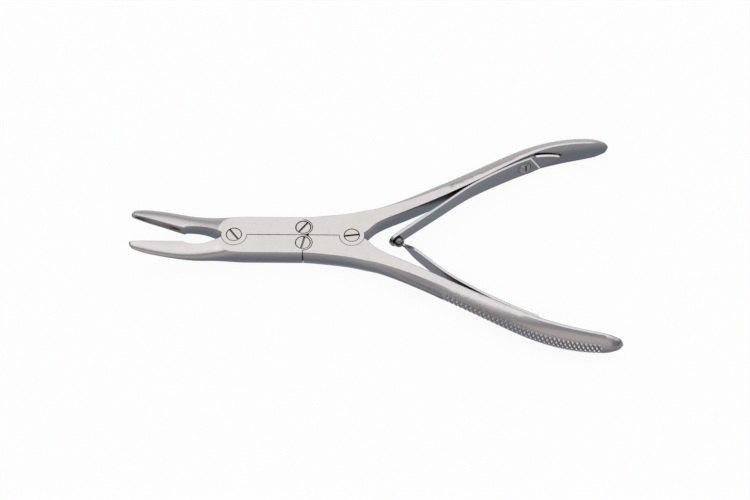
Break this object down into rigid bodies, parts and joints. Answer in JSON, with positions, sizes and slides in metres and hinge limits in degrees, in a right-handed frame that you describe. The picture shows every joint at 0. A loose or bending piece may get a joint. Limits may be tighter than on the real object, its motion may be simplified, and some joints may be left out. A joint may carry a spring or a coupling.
{
  "type": "double action bone rongeur",
  "caption": "Double-action bone rongeur with curved scooped jaws, lapped compound joint, knurled curved grips and a ball-and-socket pair of leaf springs.",
  "frame": {"origin": "under the middle of the instrument's bounding box, at the height of its lowest point", "axes": "+X along the closed seam from the jaws to the grips, +Y from the seam to the upper handle, +Z through the thickness of the lapped joint, on the side with the screw heads"},
  "size_m": [0.1832, 0.0976, 0.0133],
  "materials": {
    "satin_steel": "satin",
    "screw_steel": "satin",
    "spring_steel": "satin"
  },
  "bodies": {
    "lower_handle": {"lower_handle": "satin_steel", "rear_pivot_screw": "screw_steel", "lower_link_screw": "screw_steel", "lower_leaf_spring": "spring_steel", "lower_spring_screw": "screw_steel"},
    "upper_handle": {"upper_handle": "satin_steel", "upper_link_screw": "screw_steel", "upper_leaf_spring": "spring_steel", "upper_spring_screw": "screw_steel"},
    "lower_jaw": {"lower_jaw": "satin_steel", "front_pivot_screw": "screw_steel"},
    "upper_jaw": {"upper_jaw": "satin_steel"}
  },
  "joints": [
    {"name": "rear_pivot", "type": "hinge", "parent": "lower_handle", "child": "upper_handle", "pos_m": [-0.00826, 0, 0.00606], "axis": [0, 0, -1], "range_deg": [0, 25.94], "stiffness_Nm_per_rad": 1.5, "deforming": ["upper_leaf_spring", "lower_leaf_spring"]},
    {"name": "lower_link_pivot", "type": "hinge", "parent": "lower_handle", "child": "lower_jaw", "pos_m": [-0.02666, -0.00352, 0.00606], "axis": [0, 0, -1], "range_deg": [0, 21.97]},
    {"name": "front_pivot", "type": "hinge", "parent": "lower_jaw", "child": "upper_jaw", "pos_m": [-0.05276, 0, 0.00606], "axis": [0, 0, 1], "range_deg": [0, 18]}
  ],
  "couplings": [
    {"joint": "lower_link_pivot", "follows": "rear_pivot", "ratio": 0.84698},
    {"joint": "front_pivot", "follows": "rear_pivot", "ratio": 0.69396}
  ]
}
